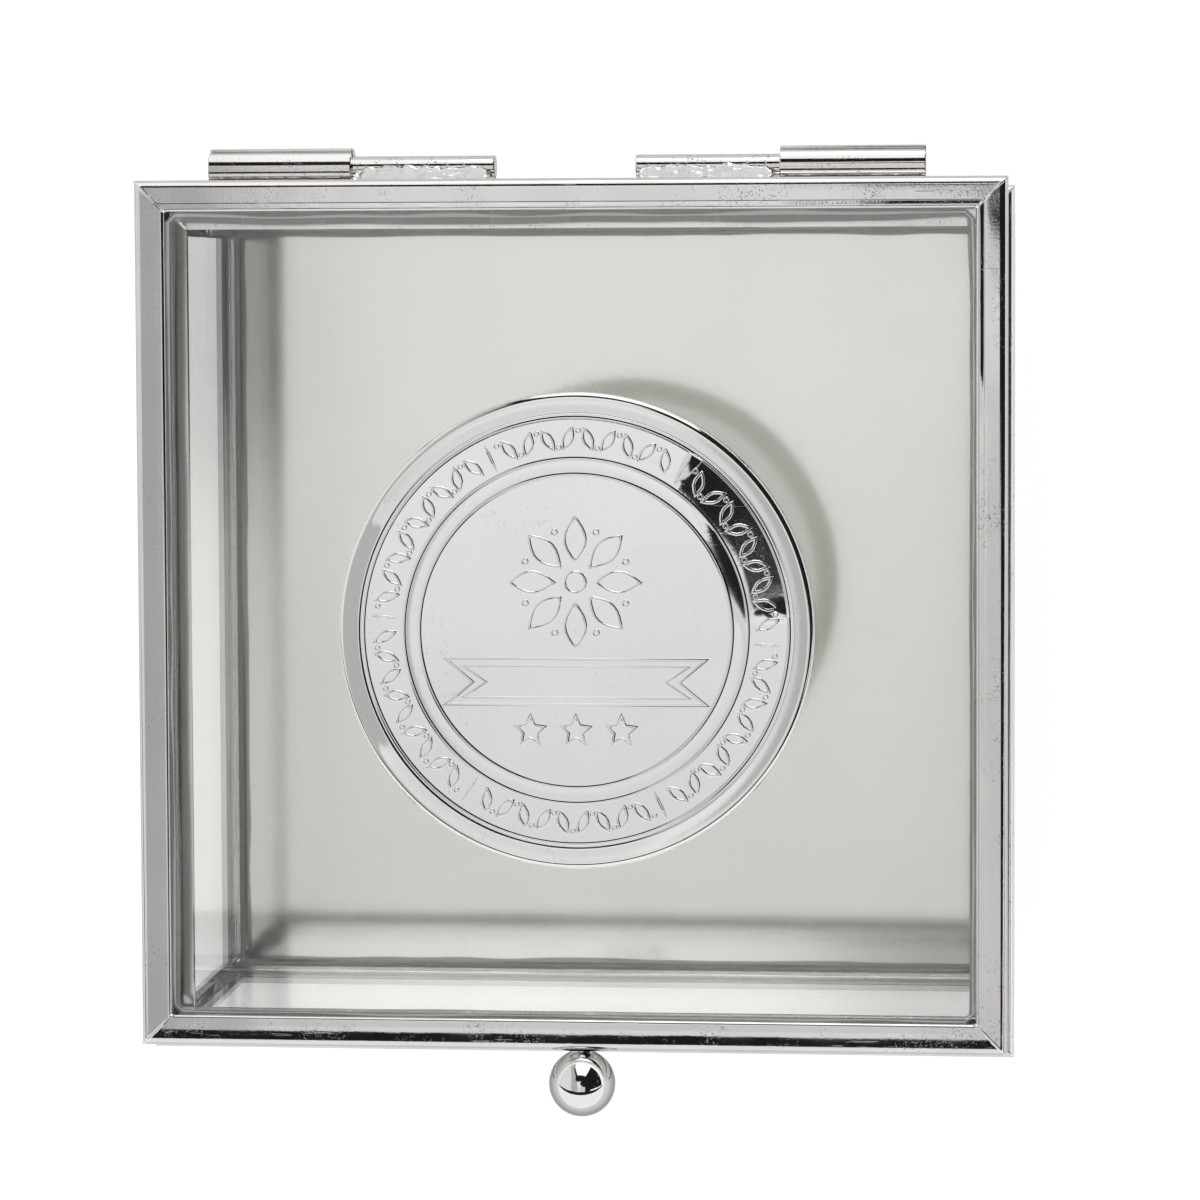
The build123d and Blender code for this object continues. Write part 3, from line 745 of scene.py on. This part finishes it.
def makeMedallion(plan):
    low, high = boxOf("medallion")
    shape = bmesh.new()
    spinChain(shape, [(radius, 0, height) for radius, height in discProfile], (0, 0, 1), plan["sides"])
    ribbon, stars = plan["ribbon"], plan["stars"]
    addLine(shape, ribbonOutline(ribbon), ribbon["centre"], width=ribbon["line"])
    addLine(shape, ribbonOutline(ribbon, ribbon["lineGap"]), ribbon["centre"], width=ribbon["innerLine"])
    for index in range(stars["count"]):
        place = ((index - (stars["count"] - 1) / 2) * stars["pitch"], stars["level"])
        addLine(shape, starOutline(stars["outer"], stars["inner"]), place, width=stars["line"])
    addRosette(shape, plan["rosette"])
    addBorder(shape, plan["border"])
    for dip in plan["dips"]:
        dipVerts(shape, plan, dip)
    moveAll(shape, ((low.x + high.x) / 2, (low.y + high.y) / 2, low.z + plan["thick"]))
    return finishPiece("stampedMedallion", shape, "lid", ["medallion"], [medallionMetal],
                       crease=50.0)


makeMedallion(medallionPlan)
print("medallion made")


# Ball knob and its solder

def roundOf(node):
    # Middle and radius of a ball, or of a cylinder along x
    low, high = boxOf(node)
    return (low + high) / 2, (high.z - low.z) / 2


knobPlan = {"sides": 72, "rings": 36, "collarWide": 2.3, "collarTall": 1.5, "collarSides": 40, "neck": 1.25,
            "steps": 8, "gap": 0.02, "intoBall": (0.15, 0.05)}


def makeKnob(plan):
    centre, radius = roundOf("knob_ball")
    shape = bmesh.new()
    # Half a circle from pole to pole
    turns = [math.pi * step / plan["rings"] for step in range(plan["rings"] + 1)]
    spinChain(shape, [(radius * math.sin(turn), radius * math.cos(turn), 0) for turn in turns], (0, 1, 0),
              plan["sides"])
    moveAll(shape, centre)
    return finishPiece("ballKnob", shape, "lid", ["knob_ball"], [knobMetal])


def makeKnobSolder(plan):
    # A fillet that flares from the ball to the frame, wider than it is tall
    centre, radius = roundOf("knob_ball")
    neck = plan["neck"]
    wall = boxOf("lid_frame_front")[0].y - plan["gap"]
    ballSide = centre.y + math.sqrt(radius ** 2 - neck ** 2) - plan["gap"]
    points = [(0, ballSide - plan["intoBall"][0], 0), (neck, ballSide - plan["intoBall"][1], 0)]
    for step in range(1, plan["steps"] + 1):
        turn = step / plan["steps"] * math.pi / 2
        flare = neck + (plan["collarWide"] - neck) * (1 - math.cos(turn))
        points.append((flare, ballSide + (wall - ballSide) * math.sin(turn), 0))
    points.append((0, wall, 0))
    shape = bmesh.new()
    spinChain(shape, points, (0, 1, 0), plan["collarSides"])
    bmesh.ops.scale(shape, verts=shape.verts, vec=(1, 1, plan["collarTall"] / plan["collarWide"]))
    moveAll(shape, (centre.x, 0, centre.z))
    return finishPiece("knobSolder", shape, "lid", ["knob_solder"], [solderMetal], crease=60.0)


makeKnob(knobPlan)
makeKnobSolder(knobPlan)
print("knob made")


# Hinges: rolled barrels with an open seam, rods with dressed ends, lumpy solder along both

# The barrel is a hair under the CAD radius, so that its facets stay inside the box; its bore clears the rod
hingePlan = {"sides": 72, "seam": 21.0, "seamAt": 50.0, "under": 0.004, "play": 0.05, "lipRound": 0.12,
             "dressed": 0.15, "rodSides": 48}


def makeBarrel(side, plan):
    node = "hinge_barrel_" + side
    low, high = boxOf(node)
    centre, outer = roundOf(node)
    outer -= plan["under"]
    inner = roundOf("hinge_pin_" + side)[1] + plan["play"]
    shape = bmesh.new()
    # The wall's section, spun round the hinge axis from one lip of the seam to the other
    section = [shape.verts.new((x, 0, radius)) for x, radius in
               ((low.x, inner), (high.x, inner), (high.x, outer), (low.x, outer))]
    face = bmesh.ops.contextual_create(shape, geom=section)["faces"][0]
    bmesh.ops.spin(shape, geom=[face, *face.edges, *face.verts], cent=(0, 0, 0), axis=(1, 0, 0),
                   angle=math.radians(360 - plan["seam"]), steps=plan["sides"])
    bmesh.ops.recalc_face_normals(shape, faces=shape.faces)
    bevelEdges(shape, sharpEdges(shape), plan["lipRound"])
    turnAll(shape, -plan["seamAt"], "X")
    moveAll(shape, (0, centre.y, centre.z))
    return finishPiece("hingeBarrel_" + side, shape, "base", [node], [hingeMetal], crease=18.0)


def makeRod(side, plan):
    node = "hinge_pin_" + side
    low, high = boxOf(node)
    centre, radius = roundOf(node)
    shape = bmesh.new()
    bmesh.ops.create_cone(shape, cap_ends=True, segments=plan["rodSides"], radius1=radius, radius2=radius,
                          depth=high.x - low.x)
    turnAll(shape, 90, "Y")
    shape.normal_update()
    bevelEdges(shape, sharpEdges(shape), plan["dressed"])
    moveAll(shape, centre)
    return finishPiece("hingeRod_" + side, shape, "lid", [node], [rodMetal], crease=18.0)


# Sections of the solder runs, as (y, z) from the hinge axis
rodSolderProfile = [(-1.28, 0.45), (-1.28, 4.2), (-1.08, 3.7), (-0.86, 3.15), (-0.62, 2.6), (-0.38, 2.05),
                    (-0.14, 1.6), (0.08, 1.28), (0.02, 0.9), (-0.5, 0.6)]
barrelSolderProfile = [(-2.13, -1.9), (-2.13, 1.9), (-1.75, 1.5), (-1.45, 1.35), (-1.6, 0.6), (-1.6, -0.6),
                       (-1.45, -1.35), (-1.75, -1.5)]
solderRunLook = {
    "step": 0.22, "lump": 1.1, "rodLumps": 0.20, "barrelLumps": 0.07, "upShare": 0.8,
    # Smaller swells: share, pitch along, pitch around and step of the seed
    "swells": ((0.8, 1.6, 1.4, 5), (0.4, 3.7, 3.5, 3)),
    # The run thins towards its ends
    "endShare": 0.45, "endLength": 1.6, "endThin": 0.5, "endDrop": 0.8,
    "backSkin": 0.1, "topBand": 0.5,
}


def solderRun(name, node, side, body, profile, seed, lumps):
    # A run of solder along x whose free surface swells and shrinks; its flat back stays on the wall
    look = solderRunLook
    low, high = boxOf(node + side)
    axis = roundOf("hinge_pin_" + side)[0]
    count = round((high.x - low.x) / look["step"])
    shape = bmesh.new()
    sweep(shape, profile, [Matrix.Translation((low.x + (high.x - low.x) * index / count, axis.y, axis.z))
                           for index in range(count + 1)])
    back = min(across for across, up in profile)
    top = max(up for across, up in profile)
    for vert in shape.verts:
        along, across, up = vert.co.x, vert.co.y - axis.y, vert.co.z - axis.z
        end = min(along - low.x, high.x - along)
        thinned = 1 - min(1.0, look["endShare"] + end / look["endLength"])
        if across > back + look["backSkin"]:
            swell = wander(seed, along, look["lump"])
            for share, pitch, around, seedStep in look["swells"]:
                spot = Vector((along * pitch, across * around, up * around + seed * seedStep))
                swell += share * noise.noise(spot)
            vert.co.y += lumps * swell - thinned * look["endThin"] * (across - back)
            vert.co.z += lumps * swell * look["upShare"]
        elif up > top - look["topBand"]:
            vert.co.z += lumps * wander(seed + 9, along, look["lump"]) - thinned * look["endDrop"]
    return finishPiece(name + side, shape, body, [node + side], [solderMetal], crease=70.0)


for number, side in enumerate(("left", "right")):
    makeBarrel(side, hingePlan)
    makeRod(side, hingePlan)
    solderRun("rodSolder_", "pin_solder_", side, "lid", rodSolderProfile, 11 + number,
              solderRunLook["rodLumps"])
    solderRun("barrelSolder_", "barrel_solder_", side, "base", barrelSolderProfile, 21 + number,
              solderRunLook["barrelLumps"])
print("hinges made")


# Corner solder: the filled mitres, with a proud, uneven seam along each

seamProfile = [(-1.0, -0.5), (-0.7, 0.35), (-0.3, 0.85), (0.3, 0.85), (0.7, 0.35), (1.0, -0.5)]
# The lid's mitres also have a seam on top. Upright seams stop short of the strip's foot and top by the two
# lengths in upright
lidSeamLook = {"width": 0.17, "rise": 0.04, "uneven": 0.45, "lump": 0.9, "steps": 14, "seed": 50,
               "mitre": {"from": 3.2, "to": 0.55, "sunk": 0.02}, "uprightAt": 0.36, "upright": (0.7, 0.8)}
topSeamLook = dict(lidSeamLook, width=0.22, steps=12, seed=60, mitre=None, upright=(0.1, 0.9))
footSeamLook = dict(topSeamLook, seed=70, upright=(0.9, 0.1))


def addSeam(shape, start, end, outward, look, seed):
    # A low bead from start to end, standing up along outward
    travel = (end - start).normalized()
    across = outward.cross(travel)
    turn = Matrix((travel, across, outward)).transposed().to_4x4()
    stations = []
    for index in range(look["steps"] + 1):
        share = index / look["steps"]
        swell = 1 + look["uneven"] * wander(seed, share * (end - start).length, look["lump"])
        size = Matrix.Diagonal((1, look["width"] * swell, look["rise"] * swell, 1))
        stations.append(Matrix.Translation(start.lerp(end, share)) @ turn @ size)
    sweep(shape, seamProfile, stations)


def makeCornerSolder(name, node, strip, body, look):
    low, high = boxOf(node)
    stripLow, stripHigh = boxOf(strip)
    foot, top = stripLow.z + look["upright"][0], stripHigh.z - look["upright"][1]
    mitre, seed = look["mitre"], look["seed"]
    shape = bmesh.new()
    shape.from_mesh(cadNodes[node].data)
    bmesh.ops.scale(shape, verts=shape.verts, vec=(1 / mm,) * 3)
    bmesh.ops.remove_doubles(shape, verts=shape.verts, dist=mergeDistance)
    for sideX, x in ((-1, low.x), (1, high.x)):
        for sideY, y in ((-1, low.y), (1, high.y)):
            seed += 1
            if mitre:
                level = stripHigh.z - mitre["sunk"]
                inner, outer = (Vector((x - sideX * reach, y - sideY * reach, level))
                                for reach in (mitre["from"], mitre["to"]))
                addSeam(shape, inner, outer, Vector((0, 0, 1)), look, seed)
            start = Vector((x - sideX * look["uprightAt"], y - sideY * look["uprightAt"], foot))
            outward = Vector((sideX, sideY, 0)).normalized()
            addSeam(shape, start, start + Vector((0, 0, top - foot)), outward, look, seed + 40)
    return finishPiece(name, shape, body, [node], [solderMetal], crease=60.0)


for name, node, body, look in (
        ("lid", "lid", "lid", lidSeamLook), ("baseTop", "base_top", "base", topSeamLook),
        ("baseBottom", "base_bottom", "base", footSeamLook)):
    makeCornerSolder(name + "CornerSolder", node + "_corner_solder", node + "_frame_front", body, look)
print("corner solder made")


# Stage

stageLook = {"floorSize": 6.0, "floorColour": (0.95, 0.95, 0.95), "floorGlow": 0.60, "inMetal": 0.35,
             "floorDrop": 0.02 * mm}


def makeFloor(look):
    mesh = bpy.data.meshes.new("studioFloor")
    shape = bmesh.new()
    bmesh.ops.create_grid(shape, x_segments=1, y_segments=1, size=look["floorSize"] / 2)
    moveAll(shape, (0, 0, -look["floorDrop"]))
    shape.to_mesh(mesh)
    shape.free()
    floor = linkObject("studioFloor", mesh)
    material, tree, shader = newMaterial("studioFloor")
    # The glow lifts the floor to white where the lens, metal or glass shows it, and its shadows stay
    path = addNode(tree, "ShaderNodeLightPath", {}).outputs
    glossy = maths(tree, "MULTIPLY", path["Is Glossy Ray"], look["inMetal"])
    seen = maths(tree, "ADD", maths(tree, "ADD", path["Is Camera Ray"], glossy), path["Is Transmission Ray"])
    glow = maths(tree, "MULTIPLY", maths(tree, "MINIMUM", seen, 1.0), look["floorGlow"])
    feed(tree, shader, {"Base Color": look["floorColour"], "Roughness": 1.0, "Specular IOR Level": 0.0,
                        "Emission Color": (1, 1, 1), "Emission Strength": glow})
    mesh.materials.append(material)


makeFloor(stageLook)
print("floor made")


# Studio: soft panels all round, with dark gaps between them overhead that bright metal shows as black lines

# A span is a place, where it begins and where it is full. right and back are places on a ceiling at height 1,
# left and up are parts of the plain direction
indoors = ("left", -0.32, -0.28)
gapLight = 0.015
studioLook = {
    "overhead": 0.90, "background": 1.0, "ragged": 0.035, "raggedScale": 9.0, "ceilingLow": 0.05,
    "slant": 0.5, "stripSlant": 0.42,
    # Each strength is laid over those before it, where all its spans are full: the ceiling, then the left side
    "panels": [(0.76, ("back", 0.0, -0.17)), (0.90, ("back", -0.19, -0.24)), (1.08, ("back", 0.12, 0.17)),
               (0.71, ("right", -0.015, 0.0), ("back", 0.0, -0.05)),
               (0.50, ("left", -0.16, -0.21)), (0.85, ("left", -0.46, -0.62))],
    # Gaps far behind and far to the right; the corner between them reaches in almost overhead
    "gaps": [("MULTIPLY", ("back", 0.28, 0.32), indoors), ("MINIMUM", ("right", 0.25, 0.30)),
             ("MINIMUM", ("back", 0.10, 0.13), ("right", -0.05, -0.03), ("back", 0.205, 0.195)),
             ("MINIMUM", ("right", 0.09, 0.12), ("back", -0.075, -0.035)), ("MINIMUM", ("corner", 0.0, 0.02))],
    # White walls begin under the gaps, at the first height or much lower down to the right
    "rims": (0.82, 0.24), "lowRim": [("slant", 0.0, 0.15), ("back", -0.30, -0.20)],
    # The walls, a thin dark strip where the wall behind meets the left panel, the gap before the front panel,
    # the front panel, the foot of the walls and the horizon
    "lower": [(1.25, ("underRim", 0.0, -0.05), indoors),
              (gapLight, ("strip", 0.11, 0.05), ("back", 0.20, 0.30), ("up", 0.34, 0.42)),
              (gapLight, ("back", -0.36, -0.38)), (1.0, ("back", -0.60, -0.64)), (1.25, ("up", 0.20, 0.05)),
              (0.85, ("up", 0.16, 0.02))],
}


def makeStudio(look):
    world = bpy.data.worlds.new("softStudio")
    world.use_nodes = True
    bpy.context.scene.world = world
    tree = world.node_tree
    coordinate = addNode(tree, "ShaderNodeTexCoord", {}).outputs["Generated"]
    x, y, up = addNode(tree, "ShaderNodeSeparateXYZ", {"Vector": coordinate}).outputs
    wobble = addNode(tree, "ShaderNodeTexNoise", {
        "Vector": coordinate, "Scale": look["raggedScale"], "Detail": 6.0, "Roughness": 0.7}).outputs["Fac"]
    shake = maths(tree, "MULTIPLY", maths(tree, "SUBTRACT", wobble, 0.5), look["ragged"])
    over = maths(tree, "MAXIMUM", up, look["ceilingLow"])
    right, back = (maths(tree, "ADD", maths(tree, "DIVIDE", value, over), shake) for value in (x, y))
    strip = maths(tree, "ADD", right, maths(tree, "MULTIPLY", back, look["stripSlant"]))
    places = {
        # The left side goes by the plain direction, so that a rod's highlights run on along it
        "left": maths(tree, "ADD", x, shake), "right": right, "back": back, "up": up,
        "corner": maths(tree, "MINIMUM", right, back), "strip": maths(tree, "ABSOLUTE", strip),
        "slant": maths(tree, "SUBTRACT", right, maths(tree, "MULTIPLY", back, look["slant"])),
    }

    def shareOf(operation, spans):
        shares = [remap(tree, places[place], start, full) for place, start, full in spans]
        share = shares[0]
        for other in shares[1:]:
            share = maths(tree, operation, share, other)
        return share

    def lay(light, steps):
        for strength, *spans in steps:
            light = mixValue(tree, shareOf("MULTIPLY", spans), light, strength)
        return light

    light = lay(look["overhead"], look["panels"])
    gap = 0.0
    for operation, *spans in look["gaps"]:
        gap = maths(tree, "MAXIMUM", gap, shareOf(operation, spans))
    light = mixValue(tree, gap, light, gapLight)
    rim = mixValue(tree, shareOf("MULTIPLY", look["lowRim"]), *look["rims"])
    places["underRim"] = maths(tree, "SUBTRACT", up, rim)
    light = lay(light, look["lower"])
    seen = addNode(tree, "ShaderNodeLightPath", {}).outputs["Is Camera Ray"]
    feed(tree, tree.nodes["Background"], {
        "Color": (1, 1, 1), "Strength": mixValue(tree, seen, light, look["background"])})


makeStudio(studioLook)

panelLook = {"place": (0.10, 1.10, 0.42), "aim": (0.0, 0.0, 0.02), "width": 0.55, "height": 0.35, "power": 1.2}


def makePanel(look):
    light = bpy.data.lights.new("backPanel", "AREA")
    light.shape = "RECTANGLE"
    light.size = look["width"]
    light.size_y = look["height"]
    light.energy = look["power"]
    lamp = linkObject("backPanel", light)
    lamp.location = look["place"]
    lamp.rotation_euler = (Vector(look["aim"]) - lamp.location).to_track_quat("-Z", "Y").to_euler()


makePanel(panelLook)
print("studio made")


# Camera: high over the back right of the lid, looking down; the shift brings the box into the frame

cameraLook = {
    "place": (41.9 * mm, 34.8 * mm, 422.0 * mm), "turn": (-2.92, 4.84, -0.205), "lens": 114.9,
    "sensor": 36.0, "shift": (-0.05, -0.10), "near": 0.01,
}


def makeCamera(look):
    camera = bpy.data.cameras.new("studioCamera")
    camera.lens = look["lens"]
    camera.sensor_width = look["sensor"]
    camera.shift_x, camera.shift_y = look["shift"]
    camera.clip_start = look["near"]
    lens = linkObject("studioCamera", camera)
    lens.location = look["place"]
    lens.rotation_euler = [math.radians(turn) for turn in look["turn"]]
    bpy.context.scene.camera = lens


makeCamera(cameraLook)
bpy.context.scene.view_settings.view_transform = "Standard"

# Light passes many glass faces and comes back off the mirror, so it needs more bounces than the usual
lightPaths = {"max_bounces": 24, "glossy_bounces": 10, "transmission_bounces": 16,
              "transparent_max_bounces": 32}
for setting, value in lightPaths.items():
    setattr(bpy.context.scene.cycles, setting, value)
